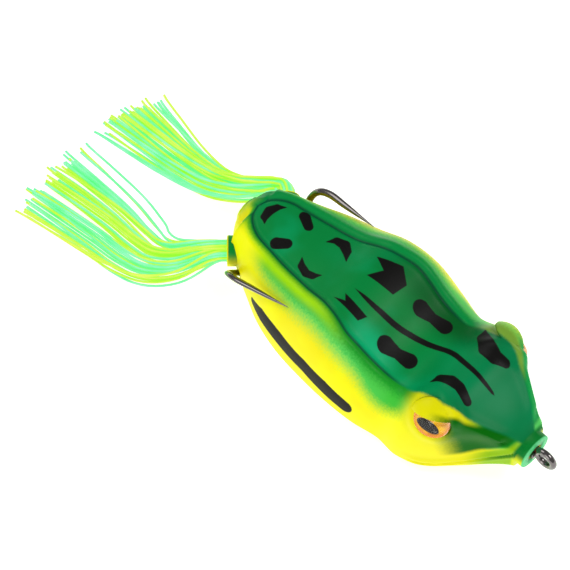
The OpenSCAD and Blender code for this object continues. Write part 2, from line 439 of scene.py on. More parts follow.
def relief(x, y, z):
    """How far the modeller's tool pushes the skin out at a point, in millimetres."""
    # back: the groove round the panel, the rim outside it, and the sunken middle
    d = panel_distance(x, y)
    back = ease(23.0, 29.0, y) * ease(-3.0, 0.5, z)
    push = -0.42 * back * bump(d, 0.0, 0.34)
    push += 0.36 * back * bump(d, 1.25, 0.8)
    push -= 0.14 * back * ease(0.0, -1.5, d)
    if y < 30:
        # brow and the hollow ahead of the eye
        ax = abs(x)
        head = 1 - ease(20.0, 25.0, y)
        brow = ax - curve_at(BROW, 1, max(y, BROW[0][0]))
        push += 0.30 * head * ease(4.0, 7.0, y) * bump(brow, 0.0, 1.0) * ease(-1.0, 3.0, z)
        cheek = Vector((6.9, 9.6, 2.4)) - Vector((ax, y, z))
        push -= 0.75 * math.exp(-(cheek.x / 3.2) ** 2 - (cheek.y / 3.6) ** 2 - (cheek.z / 2.6) ** 2)
        # swelling round the eye, higher above it
        eye = Vector((ax, y, z)) - EYE
        out = eye.dot(EYE_DIR)
        r = (eye - out * EYE_DIR).length
        lid = math.exp(-((r - 3.9) / 1.1) ** 2)
        above = ease(-1.0, 2.5, eye.z)
        push += lid * (0.35 + 0.9 * above)
        # mouth line between two lips
        mouth = z - curve_at(MOUTH, 1, y)
        lips = ease(2.6, 4.0, y) * (1 - ease(16.5, 19.5, y))
        push -= 0.34 * lips * bump(mouth, 0.0, 0.24)
        push += 0.22 * lips * bump(mouth, 0.75, 0.5)
        push += 0.12 * lips * bump(mouth, -0.6, 0.5)
        # nostril with a small fold over it
        hole = Vector((ax, y, z)) - NOSTRIL
        push -= 0.75 * math.exp(-(hole.length / 0.55) ** 2)
        push += 0.22 * math.exp(-((hole - Vector((-0.1, 0.1, 0.8))).length / 0.5) ** 2)
    return push


def skin_rings():
    """Where the rings stand: close together on the head and at the tail."""
    ys = []
    y = SKIN_FRONT
    end = STATIONS[-1][0]
    while y < end:
        ys.append(y)
        step = 0.36 if y < 24 else 0.6
        y += 0.3 if y > 60 else step
    counts = (24, 46, 24, 8)
    rings = [ring(y, 0.0, counts) for y in ys]
    last = ring(end, 0.0, counts)
    rings.append(last)
    middle = Vector((0.0, end, 0.6))
    round_out = 0.75
    for k in range(1, 6):
        a = math.pi / 2 * k / 6
        behind = Vector((0, round_out * math.sin(a), 0))
        rings.append([middle + (p - middle) * math.cos(a) + behind for p in last])
    return rings


def sculpt(bm):
    """Pushes every point of the skin by its relief."""
    bm.normal_update()
    moves = [(v, v.normal * relief(*v.co)) for v in bm.verts]
    for v, move in moves:
        v.co += move


def paint_guides(piece):
    """Stores where each point lies on the shell, for the paint to follow."""
    mesh = piece.data
    round_it = mesh.attributes.new("girth", "FLOAT", "POINT")
    panel = mesh.attributes.new("panel", "FLOAT", "POINT")
    for i, v in enumerate(mesh.vertices):
        x, y, z = v.co / MM
        round_it.data[i].value = girth(x, y, z)
        panel.data[i].value = panel_distance(x, y)


def dome_outline(r, high, steps):
    """Radius and height of points on a dome, from its crown outwards."""
    ball = (r * r + high * high) / (2 * high)
    reach = math.asin(r / ball)
    return [(ball * math.sin(reach * k / steps), high - ball + ball * math.cos(reach * k / steps))
            for k in range(steps + 1)]


def turned(outline_points, matrix):
    """An outline of (radius, height) points, which starts and ends on its axis, spun once round it."""
    bm = bmesh.new()
    verts = [bm.verts.new((r, 0, h)) for r, h in outline_points]
    edges = [bm.edges.new(pair) for pair in zip(verts, verts[1:])]
    bmesh.ops.spin(bm, geom=verts + edges, cent=(0, 0, 0), axis=(0, 0, 1), angle=2 * math.pi,
                   steps=64, use_merge=True)
    bmesh.ops.remove_doubles(bm, verts=bm.verts, dist=1e-4)
    bmesh.ops.recalc_face_normals(bm, faces=bm.faces)
    bmesh.ops.transform(bm, matrix=matrix, verts=bm.verts)
    return bm


def add_lid(shell, side):
    """A thin lid over the upper part of an eye, as a piece of a dome a little larger than the lens."""
    look = sided(EYE_DIR, side)
    place = along(sided(EYE, side), look)
    under = [(r, h - LID_DROP) for r, h in dome_outline(LID_R, LID_HIGH, 10)]
    over = [(r, h + LID_THICK) for r, h in under]
    lid = new_object("lid", turned(over + under[::-1], place))
    upward = Vector((0, 0, 1)) - look * look.z
    upward.normalize()
    tilted = (upward + Vector((0, LID_TILT, 0))).normalized()
    block = bmesh.new()
    block_size = 20
    bmesh.ops.create_cube(block, size=block_size)
    turn = along(sided(EYE, side) + tilted * (LID_EDGE + block_size / 2), tilted)
    bmesh.ops.transform(block, matrix=turn, verts=block.verts)
    carve(lid, block, "INTERSECT")
    bm = bmesh.new()
    bm.from_mesh(lid.data)
    bmesh.ops.scale(bm, vec=(1 / MM, 1 / MM, 1 / MM), verts=bm.verts)
    bpy.data.objects.remove(lid)
    carve(shell, bm, "UNION")


def make_shell():
    """The skin with its collars joined on, then hollowed, bored and given its lids."""
    bm = tube_of_rings(skin_rings())
    sculpt(bm)
    shell = new_object("frog_shell", bm)
    behind = Vector((0, 1, 0))
    nose = along(Vector((0, COLLAR_FRONT, NOSE_Z)), behind)
    collars = [rod(COLLAR_R, 0, COLLAR_LONG, nose, 72, SOFT_EDGE)]
    for side in (-1, 1):
        seat = along(sided(LEG_FACE, side), sided(LEG_DIR, side))
        collars.append(rod(SEAT_R, -SEAT_LONG, 0, seat, 64, SOFT_EDGE))
    carve(shell, joined(collars), "UNION")
    hollow = [ring(HOLLOW_START + HOLLOW_STEP * k, WALL, (5, 8, 5, 3)) for k in range(HOLLOW_RINGS)]
    carve(shell, tube_of_rings(hollow), "DIFFERENCE")
    holes = [rod(NOSE_HOLE_R, -1, 9, along(Vector((0, 0, NOSE_Z)), behind))]
    for side in (-1, 1):
        seat = along(sided(LEG_FACE, side), sided(LEG_DIR, side))
        pocket = along(sided(EYE, side), sided(EYE_DIR, side))
        slit = along(sided(SLIT_START, side), sided(SLIT_DIR, side))
        holes.append(rod(SEAT_BORE_R, -6, 2, seat))
        holes.append(rod(POCKET_R, -POCKET_DEEP, 6, pocket, 72))
        holes.append(rod(SLIT_R, 0, 7, slit, 32))
    carve(shell, joined(holes), "DIFFERENCE")
    for side in (-1, 1):
        add_lid(shell, side)
    paint_guides(shell)
    return shell


# ---------------------------------------------------------------- shader maths
class Value:
    """A socket that can be used in sums; every operation adds one node."""

    def __init__(self, net, socket):
        self.net = net
        self.socket = socket

    def math(self, operation, *others):
        return self.net.node("ShaderNodeMath", {"operation": operation}, [self, *others])

    def __add__(self, other):
        return self.math("ADD", other)

    def __radd__(self, other):
        return self.math("ADD", other)

    def __sub__(self, other):
        return self.math("SUBTRACT", other)

    def __rsub__(self, other):
        return (self * -1) + other

    def __mul__(self, other):
        return self.math("MULTIPLY", other)

    def __truediv__(self, other):
        return self.math("DIVIDE", other)

    def __neg__(self):
        return self * -1

    def __pow__(self, other):
        return self.math("POWER", other)

    def __abs__(self):
        return self.math("ABSOLUTE")

    def root(self):
        return self.math("SQRT")

    def least(self, other):
        return self.math("MINIMUM", other)

    def most(self, other):
        return self.math("MAXIMUM", other)

    def ease(self, low, high):
        """Smooth step from 0 at low to 1 at high; low may be the larger."""
        if low > high:
            return 1 - self.ease(high, low)
        return self.net.node("ShaderNodeMapRange", {"interpolation_type": "SMOOTHSTEP"},
                             {"Value": self, "From Min": low, "From Max": high})

    def bell(self, middle, width):
        """1 at a middle, falling to 0 a width away."""
        return abs(self - middle).ease(width, 0)


class Net:
    """The node tree of one new material."""

    def __init__(self, name):
        self.material = bpy.data.materials.new(name)
        self.material.use_nodes = True
        self.tree = self.material.node_tree
        self.shader = self.tree.nodes["Principled BSDF"]
        self.output = self.tree.nodes["Material Output"]

    def node(self, kind, settings=None, values=(), out=0):
        """Adds a node, sets its settings first and then its sockets, and returns one output."""
        made = self.tree.nodes.new(kind)
        for key, value in (settings or {}).items():
            if key == "stops":
                self.set_stops(made.color_ramp, value)
            else:
                setattr(made, key, value)
        pairs = values.items() if isinstance(values, dict) else enumerate(values)
        for key, value in pairs:
            self.feed(made.inputs[key], value)
        return Value(self, made.outputs[out])

    def set_stops(self, ramp, stops):
        while len(ramp.elements) < len(stops):
            ramp.elements.new(0.5)
        for element, (place, colour) in zip(ramp.elements, stops):
            element.position = place
            element.color = (*colour, 1)

    def feed(self, socket, value):
        if isinstance(value, Value):
            self.tree.links.new(value.socket, socket)
        elif isinstance(value, tuple) and len(value) == 3 and socket.type == "RGBA":
            socket.default_value = (*value, 1)
        else:
            socket.default_value = value

    def set(self, **sockets):
        """Sets the main shader's sockets; underscores stand for spaces."""
        for name, value in sockets.items():
            self.feed(self.shader.inputs[name.replace("_", " ")], value)

    def places(self):
        """X, Y and Z of the surface in millimetres."""
        wide = self.node("ShaderNodeVectorMath", {"operation": "SCALE"}, {0: self.spot(), "Scale": 1 / MM})
        split = self.node("ShaderNodeSeparateXYZ", values=[wide])
        return [Value(self, split.socket.node.outputs[k]) for k in range(3)]

    def spot(self):
        return self.node("ShaderNodeTexCoord", out="Object")

    def noise(self, scale, detail=2.0, rough=0.5):
        """Cloudy values round 0.5; scale is in features a metre."""
        return self.node("ShaderNodeTexNoise", {}, {"Vector": self.spot(), "Scale": scale,
                                                    "Detail": detail, "Roughness": rough})

    def guide(self, name):
        return self.node("ShaderNodeAttribute", {"attribute_name": name}, out="Fac")

    def mix(self, amount, under, over):
        """The over colour laid on the under colour."""
        return self.node("ShaderNodeMix", {"data_type": "RGBA", "clamp_factor": True},
                         {0: amount, 6: under, 7: over}, out=2)

    def bumped(self, height, distance, strength):
        """A normal that follows a height, whose full depth is given in metres."""
        return self.node("ShaderNodeBump", {}, {"Height": height, "Distance": distance,
                                                "Strength": strength})


def paint(red, green, blue):
    """A colour given as it looks on a screen, 0 to 255, as the renderer's own values."""
    def straight(c):
        c /= 255
        return c / 12.92 if c <= 0.04045 else ((c + 0.055) / 1.055) ** 2.4
    return (straight(red), straight(green), straight(blue))


# ---------------------------------------------------------------- the painted frog
def stroke(x, y, points):
    """Signed distance to a brush stroke through a few (x, y, half width) points."""
    nearest = None
    for (ax, ay, ar), (bx, by, br) in zip(points, points[1:]):
        dx, dy = bx - ax, by - ay
        square = dx * dx + dy * dy
        u, v = x - ax, y - ay
        t = (u * (dx / square) + v * (dy / square)).most(0.0).least(1.0)
        p, q = u - t * dx, v - t * dy
        gap = (p * p + q * q).root() - t * (br - ar) - ar
        nearest = gap if nearest is None else nearest.least(gap)
    return nearest


def corner_shape(x, y, corners):
    """Signed distance to a convex outline, its corners going round against the clock."""
    worst = None
    for (ax, ay), (bx, by) in zip(corners, corners[1:] + corners[:1]):
        length = math.hypot(bx - ax, by - ay)
        nx, ny = (by - ay) / length, -(bx - ax) / length
        side = x * nx + y * ny - (ax * nx + ay * ny)
        worst = side if worst is None else worst.most(side)
    return worst


def table(y, rows, low, high, span):
    """Reads a curve of y from a few (y, value) rows, through a ramp that runs over the span."""
    net = y.net
    start, end = span
    stops = [((v - start) / (end - start), (((w - low) / (high - low)),) * 3) for v, w in rows]
    ramp = net.node("ShaderNodeValToRGB", {"stops": stops}, [(y - start) / (end - start)])
    ramp.socket.node.color_ramp.interpolation = "B_SPLINE"
    return ramp * (high - low) + low


# Black strokes on the back, as (x, y, half width), and the one on each flank, as (y, z, half width).
BACK_MARKS = [
    [(-2.0, 62.0, 0.10), (-1.0, 62.9, 0.75), (0.4, 63.1, 0.95), (1.7, 62.6, 0.70), (2.8, 61.5, 0.08)],
    [(3.7, 58.0, 1.00), (2.6, 56.1, 0.85)],
    [(-3.4, 57.9, 1.10), (-2.3, 56.5, 0.95)],
    [(-2.6, 52.7, 0.08), (-3.8, 51.7, 0.66), (-4.4, 50.1, 0.72), (-4.1, 48.8, 0.66), (-3.2, 47.7, 0.08)],
    [(2.4, 51.7, 0.08), (3.7, 50.6, 0.75), (3.9, 49.0, 1.00), (3.0, 47.6, 0.80), (1.3, 46.2, 0.08)],
    [(4.1, 31.6, 1.50), (4.5, 29.4, 0.95), (4.9, 27.0, 1.35)],
    [(-4.9, 31.4, 1.50), (-4.4, 29.2, 0.95), (-3.9, 27.0, 1.40)],
    [(7.9, 20.8, 0.08), (6.4, 20.0, 1.05), (4.9, 17.9, 1.45), (4.4, 15.8, 1.20), (5.0, 13.9, 0.75)],
    [(-5.4, 21.1, 0.08), (-4.0, 20.2, 0.90), (-3.5, 18.6, 1.15), (-3.6, 16.4, 0.90), (-4.5, 13.9, 0.75)],
]
FLANK_MARK = [(56.0, -2.4, 0.75), (53.0, -1.9, 1.45), (47.0, -1.4, 1.55), (41.0, -1.0, 1.60),
              (36.5, -1.7, 1.75), (31.6, -3.3, 1.45)]


def back_spots(x, y):
    """Signed distance to the nearest black mark on the back, seen from above."""
    marks = [stroke(x, y, points) for points in BACK_MARKS]
    marks.append(corner_shape(x, y, [(1.7, 36.0), (4.7, 35.6), (6.7, 38.2), (4.9, 42.5), (1.0, 41.3)]).most(
        -corner_shape(x, y, [(3.6, 39.9), (5.0, 42.9), (0.4, 41.6)])))
    marks.append(corner_shape(x, y, [(-5.9, 36.9), (-4.3, 36.3), (-3.9, 41.6), (-5.6, 42.7)]).most(
        -corner_shape(x, y, [(-4.9, 40.7), (-3.6, 41.9), (-6.0, 43.7)])))
    span = (10.0, 44.0)
    bend = table(y, [(11, -0.3), (13, -0.1), (15.2, 0.0), (18.7, 0.5), (22.9, 1.9), (26.3, 0.7), (30.1, -0.7),
                     (33, -1.6), (36.7, -2.2), (42, -2.2)], -3.0, 3.0, span)
    thick = table(y, [(11, -0.4), (12.2, 0.38), (18, 0.45), (26, 0.56), (34, 0.56), (39, 0.4), (42.3, -0.3)],
                  -0.4, 1.0, span)
    marks.append(abs(x - bend) - thick)
    nearest = marks[0]
    for mark in marks[1:]:
        nearest = nearest.least(mark)
    return nearest


def frog_paint():
    """Soft vinyl with airbrushed greens over yellow, black marks, and a satin top coat, with a painted
    highlight along the right crest and painted shade in the groove and at the waist.
    """
    net = Net("frog_paint")
    x, y, z = net.places()
    girth_at = net.guide("girth")
    rim = net.guide("panel")
    cloud = net.noise(70, 1.0)
    cloud_b = net.noise(110, 2.0)
    mist = (net.noise(2600, 2.0, 0.7) - 0.5) * 0.16
    right = x.ease(2.0, -4.0)

    # back panel: soft clouds of green, darker on the left and toward the nose
    back = net.mix(cloud.ease(0.40, 0.66), paint(0, 138, 62), paint(0, 152, 84))
    back = net.mix(cloud_b.ease(0.50, 0.74) * 0.5, back, paint(0, 172, 108))
    back = net.mix(x.bell(-6.8, 4.0) * y.bell(32.5, 6.5), back, paint(0, 188, 124))
    back = net.mix(x.ease(1.0, 6.5) * y.bell(27.0, 22.0) * 0.9, back, paint(0, 90, 30))
    top_of_head = y.ease(23, 13)
    back = net.mix(top_of_head * 0.7, back, paint(0, 124, 72))

    # flank: green at the rim, mint, then yellow, with a painted highlight along the crest on the right
    rim_green = net.mix(right, paint(0, 146, 66), paint(26, 160, 40))
    # painted highlight: a lime line along the crest outside the groove, on the right side only
    crest_highlight = (rim + mist * 3).bell(1.6, 1.5) * right * y.ease(28, 34)
    mint = net.mix(cloud.ease(0.35, 0.65), paint(60, 196, 50), paint(92, 222, 96))
    yellow = net.mix(cloud_b.ease(0.4, 0.7), paint(250, 240, 0), paint(255, 255, 0))
    down = girth_at + mist
    flank = net.mix(down.ease(1.08, 1.32), rim_green, mint)
    flank = net.mix(crest_highlight * y.ease(34, 46), flank, paint(168, 232, 0))
    # painted shade: at the waist behind the head the green comes further down before the yellow begins
    waist_shade = y.bell(26.0, 7.0) * 0.16
    flank = net.mix((down - waist_shade).ease(1.22, 1.52), flank, yellow)
    # partly painted highlight: at the tail, on the right side only, the flank's yellow reaches up to the rim,
    # where the crest highlight runs into it
    tail_highlight = y.ease(56, 62)
    flank = net.mix(tail_highlight * (rim + mist * 3).ease(0.7, 2.0) * right, flank, yellow)
    belly = down.ease(2.35, 2.9)
    flank = net.mix(belly, flank, paint(248, 246, 150))

    # head: yellow cheeks round the eyes, dark green ahead of them, yellow lips
    side_x = abs(x)
    eye_gap = ((side_x - EYE.x) * (side_x - EYE.x) + (y - EYE.y) * (y - EYE.y)
               + (z - EYE.z) * (z - EYE.z)).root()
    cheek = net.mix((eye_gap + mist * 8).ease(9.0, 4.5) * (0.25 + right * 0.75), flank, paint(236, 232, 0))
    brow = side_x - table(y, BROW, 0.0, 10.0, (3.0, 25.0))
    mouth_z = table(y, MOUTH, -7.0, 2.0, (2.0, 20.0))
    above_mouth = z - mouth_z + mist * 2
    wedge = (brow - (y - 8.3) * 0.28).ease(0.5, -0.5) * y.ease(8.8, 10.6)
    ahead_of_eye = (y + mist * 6 - above_mouth * 0.25).ease(13.6, 9.6)
    patch = ahead_of_eye * above_mouth.ease(2.2, 3.6) * (1 - wedge)
    face = net.mix(patch, cheek, net.mix(right, paint(0, 168, 74), paint(0, 106, 2)))
    lip = above_mouth.ease(3.0, 1.8)
    lip_tone = net.mix(y.ease(7.0, 11.0), paint(150, 200, 0), paint(240, 234, 0))
    face = net.mix(lip * y.ease(23, 18), face, net.mix(right, paint(90, 216, 100), lip_tone))
    chin = above_mouth.bell(-0.2, 0.9) * y.ease(8.4, 5.4)
    face = net.mix(chin * 0.8, face, paint(0, 120, 20))
    head = y.ease(24.6, 20.0)
    side = net.mix(head, flank, face)

    # the back's green ends at the groove, and at the brow on the head
    edge = rim * (1 - head) + brow * head
    on_back = (edge + mist * 2.0).ease(0.50, -0.25) * z.ease(-2.4, 0.6)
    coat = net.mix(on_back, side, back)
    # painted shade: the groove round the back panel is darkened
    groove_shade = rim.bell(0.0, 0.42) * y.ease(23.0, 29.0) * z.ease(-3.4, -0.4)
    coat = net.mix(groove_shade * 0.85, coat, paint(0, 74, 52))

    # nose collar: green on top, yellow below, pale on its face
    collar = net.mix(z.ease(-0.6, 1.2), paint(226, 238, 0), paint(0, 130, 46))
    collar = net.mix(y.ease(2.5, 2.25), collar, paint(96, 222, 140))
    coat = net.mix(y.ease(4.3, 3.75), coat, collar)

    # leg collars: green on top, yellow below and on the face
    outward = side_x * LEG_DIR.x + y * LEG_DIR.y - LEG_FACE.dot(LEG_DIR)
    reach = ((side_x - LEG_FACE.x) * (side_x - LEG_FACE.x) + (y - LEG_FACE.y) * (y - LEG_FACE.y)
             + (z - LEG_FACE.z) * (z - LEG_FACE.z) - outward * outward).most(0.0).root()
    on_seat = outward.ease(-2.6, -2.2) * reach.ease(SEAT_R + 0.25, SEAT_R + 0.1)
    on_top = z.ease(-2.4, 0.0) * outward.ease(-0.1, -0.35)
    seat_tone = net.mix(on_top, paint(246, 240, 0), paint(0, 140, 50))
    coat = net.mix(on_seat, coat, seat_tone)

    # black marks, sprayed through a stencil
    marks = (back_spots(x, y) + mist * 0.5).ease(0.10, -0.08) * z.ease(-0.4, 1.6)
    flank_mark = stroke(y, z, FLANK_MARK)
    marks = marks.most((flank_mark + mist).ease(0.12, -0.10) * side_x.ease(8.0, 10.0))
    coat = net.mix(marks, coat, paint(16, 15, 14))

    grain = net.noise(5200, 2.0, 0.6)
    net.set(Base_Color=coat, Roughness=0.36 + grain * 0.10 + marks * 0.05,
            Normal=net.bumped(grain, 0.00003, 0.5))
    net.set(Coat_Weight=0.03, Coat_Roughness=0.30, Specular_IOR_Level=0.09)
    return net.material


# ---------------------------------------------------------------- hook, weight and seal
def hook_steel():
    """Black nickel: dark, polished, with the faint drawing marks of wire."""
    net = Net("hook_black_nickel")
    tone = net.noise(900, 3.0)
    marks = net.noise(4200, 2.0)
    net.set(Base_Color=net.mix(tone, paint(96, 92, 92), paint(128, 122, 120)),
            Roughness=0.14 + marks * 0.10, Normal=net.bumped(marks, 0.00001, 0.3))
    net.set(Metallic=1.0, Coat_Weight=0.3, Coat_Roughness=0.05)
    return net.material


def make_hook():
    """One wire: the line tie's loop, two shanks, and two forged bends with sharp points."""
    wire = WIRE / 2
    halves = []
    for side in (-1, 1):
        line = mirrored(smooth_path(HOOK_PATH, 8), side)
        radii = []
        forged = []
        for i in range(len(line)):
            left = len(line) - 1 - i
            taper = math.sin(math.pi / 2 * min(left / POINT_RINGS, 1))
            radii.append(POINT_R + (wire - POINT_R) * taper)
            forged.append(1 - 0.22 * ease(72, 84, i) * ease(2, 16, left))
        halves.append(bar(line, radii, Vector((side * -0.45, 0, 0.9)), 18, forged))
    ring = bmesh.new()
    bmesh.ops.create_circle(ring, segments=20, radius=wire, matrix=Matrix.Translation((0, TIE / 2, 0)))
    bmesh.ops.spin(ring, geom=ring.edges[:], cent=(0, 0, 0), axis=(1, 0, 0), angle=2 * math.pi,
                   steps=64, use_merge=True)
    bmesh.ops.remove_doubles(ring, verts=ring.verts, dist=1e-4)
    bmesh.ops.recalc_face_normals(ring, faces=ring.faces)
    hook = new_object("hook_wire", halves[0])
    carve(hook, halves[1], "UNION")
    carve(hook, ring, "UNION")
    return hook


def cast_metal():
    """Dull cast weight with a fine pitted skin."""
    net = Net("cast_weight")
    pits = net.noise(1500, 4.0, 0.7)
    net.set(Base_Color=net.mix(pits, paint(92, 94, 98), paint(134, 136, 140)), Metallic=0.9,
            Roughness=0.45 + pits * 0.2, Normal=net.bumped(pits, 0.00008, 0.7))
    return net.material


def cured_glue():
    """Amber glue that seals the nose."""
    net = Net("cured_glue")
    swirl = net.noise(700, 2.0)
    net.set(Base_Color=net.mix(swirl, paint(196, 92, 40), paint(222, 140, 74)),
            Roughness=0.25 + swirl * 0.1, Normal=net.bumped(swirl, 0.00005, 0.5))
    net.set(Coat_Weight=0.4, IOR=1.5)
    return net.material


# ---------------------------------------------------------------- eyes
def eye_space(net, side):
    """Across and up in an eye's own plane, in millimetres from its centre."""
    x, y, z = net.places()
    look = sided(EYE_DIR, side)
    ahead = Vector((0, -1, 0)) - look * look.dot(Vector((0, -1, 0)))
    ahead.normalize()
    up = look.cross(ahead) * (1 if side < 0 else -1)
    middle = sided(EYE, side)

    def against(v):
        return x * v.x + y * v.y + z * v.z - middle.dot(v)
    return against(ahead), against(up)


def foil_gold(side):
    """Hammered gold foil under the lens, with a black slanted pupil printed low on it."""
    net = Net("eye_foil_right" if side < 0 else "eye_foil_left")
    ahead, up = eye_space(net, side)
    back_by, down_by, half_long, half_high = 0.15, 1.25, 2.10, 1.02
    tilt = math.radians(-4)
    c, s = math.cos(tilt), math.sin(tilt)
    u = (ahead + back_by) * c + (up + down_by) * s
    v = (up + down_by) * c - (ahead + back_by) * s
    pupil = ((u / half_long) * (u / half_long) + (v / half_high) * (v / half_high)).root()
    far = (ahead * ahead + up * up).root()
    dents = net.node("ShaderNodeTexVoronoi", {"feature": "SMOOTH_F1"},
                     {"Vector": net.spot(), "Scale": 900.0, "Smoothness": 0.8})
    sheen = net.noise(420, 2.0)
    gold = net.mix(sheen.ease(0.35, 0.65), paint(206, 128, 0), paint(250, 198, 0))
    gold = net.mix(far.ease(2.3, 3.1), gold, paint(236, 140, 0))
    net.set(Base_Color=net.mix(pupil.ease(1.06, 0.96), gold, paint(10, 10, 12)),
            Metallic=pupil.ease(0.96, 1.06) * 0.35, Roughness=0.34 + sheen * 0.12,
            Normal=net.bumped(dents, 0.00012, 0.55))
    net.set(Specular_IOR_Level=0.2)
    return net.material


def clear_dome():
    """Clear resin: light passes, the surface shines."""
    net = Net("clear_resin")
    clear = net.node("ShaderNodeBsdfTransparent", {}, {"Color": (1.0, 0.99, 0.96, 1.0)})
    gloss = net.node("ShaderNodeBsdfGlossy", {}, {"Color": (1.0, 1.0, 1.0, 1.0), "Roughness": 0.04})
    facing = net.node("ShaderNodeLayerWeight", {}, {"Blend": 0.5}, "Facing")
    blend = net.node("ShaderNodeMixShader", {}, [facing ** 4.0 * 0.22 + 0.02, clear, gloss])
    net.feed(net.output.inputs["Surface"], blend)
    net.tree.nodes.remove(net.shader)
    return net.material


def make_foil(side):
    """A thin disc with a rolled edge."""
    place = along(sided(EYE, side), sided(EYE_DIR, side))
    return new_object("eye_foil_right" if side < 0 else "eye_foil_left",
                      rod(EYE_R, -FOIL_THICK, 0.0, place, 64, FOIL_EDGE))


def make_dome(side):
    """A shallow lens whose underside rises a hair above the foil toward its middle."""
    place = along(sided(EYE, side), sided(EYE_DIR, side))
    lens = turned(dome_outline(EYE_R, LENS_HIGH, 12) + [(0, 0.01)], place)
    return new_object("eye_dome_right" if side < 0 else "eye_dome_left", lens)


# ---------------------------------------------------------------- skirts
STRAND = 0.24         # radius of a strand
BUNDLE = 1.79         # radius within which strand centres are packed at the collar
NECK = 5              # steps of the middle line that stay bundled


def silicone(name, light, deep):
    """Soft translucent strand silicone that lets light through, with a faint painted glow of its own colour
    all over.
    """
    net = Net(name)
    drift = net.noise(240, 1.0)
    streak = net.noise(1500, 1.0)
    net.set(Base_Color=net.mix(drift.ease(0.3, 0.7), light, deep), Roughness=0.30 + streak * 0.1,
            Normal=net.bumped(streak, 0.00002, 0.3))
    net.set(Subsurface_Weight=0.5, Subsurface_Scale=0.001, Coat_Weight=0.1, Coat_Roughness=0.2, IOR=1.42)
    # painted glow: the strands give off a little light in their own colour, standing in for light shining
    # through them
    net.set(Emission_Color=light + (1.0,), Emission_Strength=0.22)
    net.shader.inputs["Subsurface Radius"].default_value = (1.0, 1.0, 0.6)
    return net.material


def packed_places(radius, pitch):
    """Centres of round strands packed like a honeycomb in a round bundle."""
    high = pitch * math.sqrt(3) / 2
    reach = int(radius / high) + 1
    grid = [((col + row / 2) * pitch, row * high) for row in range(-reach, reach + 1)
            for col in range(-2 * reach, 2 * reach + 1)]
    return [(a, b) for a, b in grid if math.hypot(a, b) <= radius]


def strand_lines(leg, side, spread, seed, sag, slant):
    """Paths of every strand of one skirt: bundled at the collar, fanned and lying down at the tips.

    sag bows the right and the left strands outwards halfway along, or inwards when it is below 0.
    slant shortens the strands on the left and lengthens those on the right.
    """
    dice = random.Random(seed)
    start = sided(LEG_FACE, side) - 6.0 * sided(LEG_DIR, side)
    middle = smooth_path([start] + [Vector(p) for p in leg], 5)
    frames = frames_along(middle, Vector((0, 0, 1)))
    last = len(middle) - 1
    lines = []
    for across, up in packed_places(BUNDLE, 2 * STRAND * 1.02):
        rank = clamp(across / 1.9, -1, 1)
        aim = clamp(rank * 0.78 + dice.gauss(0, 0.26), -1.05, 1.05)
        level = dice.uniform(0.0, 1.0)
        lag = dice.gauss(0, 0.9)
        wave = dice.uniform(-0.5, 0.5)
        phase = dice.uniform(0, 6.28)
        stretch = 1 + dice.gauss(0, 0.025)
        stray = dice.random() < 0.09
        if stray:
            aim *= 1.15
        droop = level * 1.2 * (1 if level > 0.5 else 0.2)
        line = []
        for i, p in enumerate(middle):
            u, v = frames[i]
            share = clamp((i - NECK) / (last - NECK))
            fan = share ** 1.15
            loose = math.sin(math.pi * share)
            outer = aim * u.x
            sway = lag * 0.35 + wave * math.sin(phase + 3 * fan) + aim * (sag[0] if outer < 0 else sag[1])
            out = across * (1 - fan) + aim * spread * fan + loose * sway
            fall = up * (1 - fan) + (level * 1.5 - 0.5) * fan + loose * droop
            q = p + u * out - v * fall
            if i > NECK:
                q = middle[NECK] + (q - middle[NECK]) * (stretch - slant * outer)
            q.z = max(q.z, FLOOR + STRAND + 0.05)
            line.append(q)
        lines.append(line)
    return lines


def make_skirt(name, lines):
    """Every strand as a thin closed bar."""
    side_way = Vector((0.1, 0, 1))
    return new_object(name, joined([bar(line, [STRAND] * len(line), side_way, 6) for line in lines]))


def band_rubber():
    """Black rubber, dusty and dull."""
    net = Net("band_rubber")
    dust = net.noise(1800, 3.0)
    net.set(Base_Color=net.mix(dust, paint(24, 24, 26), paint(44, 44, 46)),
            Roughness=0.7 + dust * 0.15, Normal=net.bumped(dust, 0.00003, 0.4))
    return net.material


# ---------------------------------------------------------------- stage
# The floor's half size and the focal length are in millimetres, and the places below them in metres.
FLOOR_SIZE = 900
LENS = 187.6
CAMERA_AIM = Vector((-0.00754, 0.05197, 0.00395))
LIGHT_AIM = Vector((0, 0.048, 0))
WORLD_GLOW = 0.30
# Name, place, diameter in metres and power in watts of each soft light.
LIGHTS = [
    ("front", (0.21, -0.26, 0.50), 0.22, 1.3),
    ("back", (-0.10, 0.50, 0.45), 0.40, 1.2),
    ("side", (-0.55, -0.05, 0.22), 0.40, 1.0),
]


def pale_floor():
    """Plain white that glows a little."""
    net = Net("pale_floor")
    mottle = net.noise(9, 2.0)
    white = net.mix(mottle, (0.90, 0.90, 0.90), (0.93, 0.93, 0.93))
    net.set(Base_Color=white, Roughness=0.7, Emission_Color=white, Emission_Strength=0.75)
    return net.material


def soft_light(name, place, size, power):
    """A round white softbox that faces the lure."""
    data = bpy.data.lights.new(name, "AREA")
    data.shape = "DISK"
    data.size = size
    data.energy = power
    lamp = bpy.data.objects.new(name, data)
    lamp.location = place
    lamp.rotation_euler = (LIGHT_AIM - Vector(place)).to_track_quat("-Z", "Y").to_euler()
    bpy.context.collection.objects.link(lamp)


# ---------------------------------------------------------------- the add-on
class LureSkirtSettings(bpy.types.PropertyGroup):
    """Sizes and colours of the two skirts."""
    right_spread: bpy.props.FloatProperty(name="Right spread", default=9.4, min=5, max=9.6,
                                          description="Half width of the right fan, mm")
    left_spread: bpy.props.FloatProperty(name="Left spread", default=6.4, min=3, max=6.6,
                                         description="Half width of the left fan, mm")
    lime: bpy.props.FloatVectorProperty(name="Lime", description="Colour of the lime strands",
                                        subtype="COLOR", default=paint(208, 255, 88), min=0, max=1)
    mint: bpy.props.FloatVectorProperty(name="Mint", description="Colour of the mint strands",
                                        subtype="COLOR", default=paint(146, 255, 190), min=0, max=1)


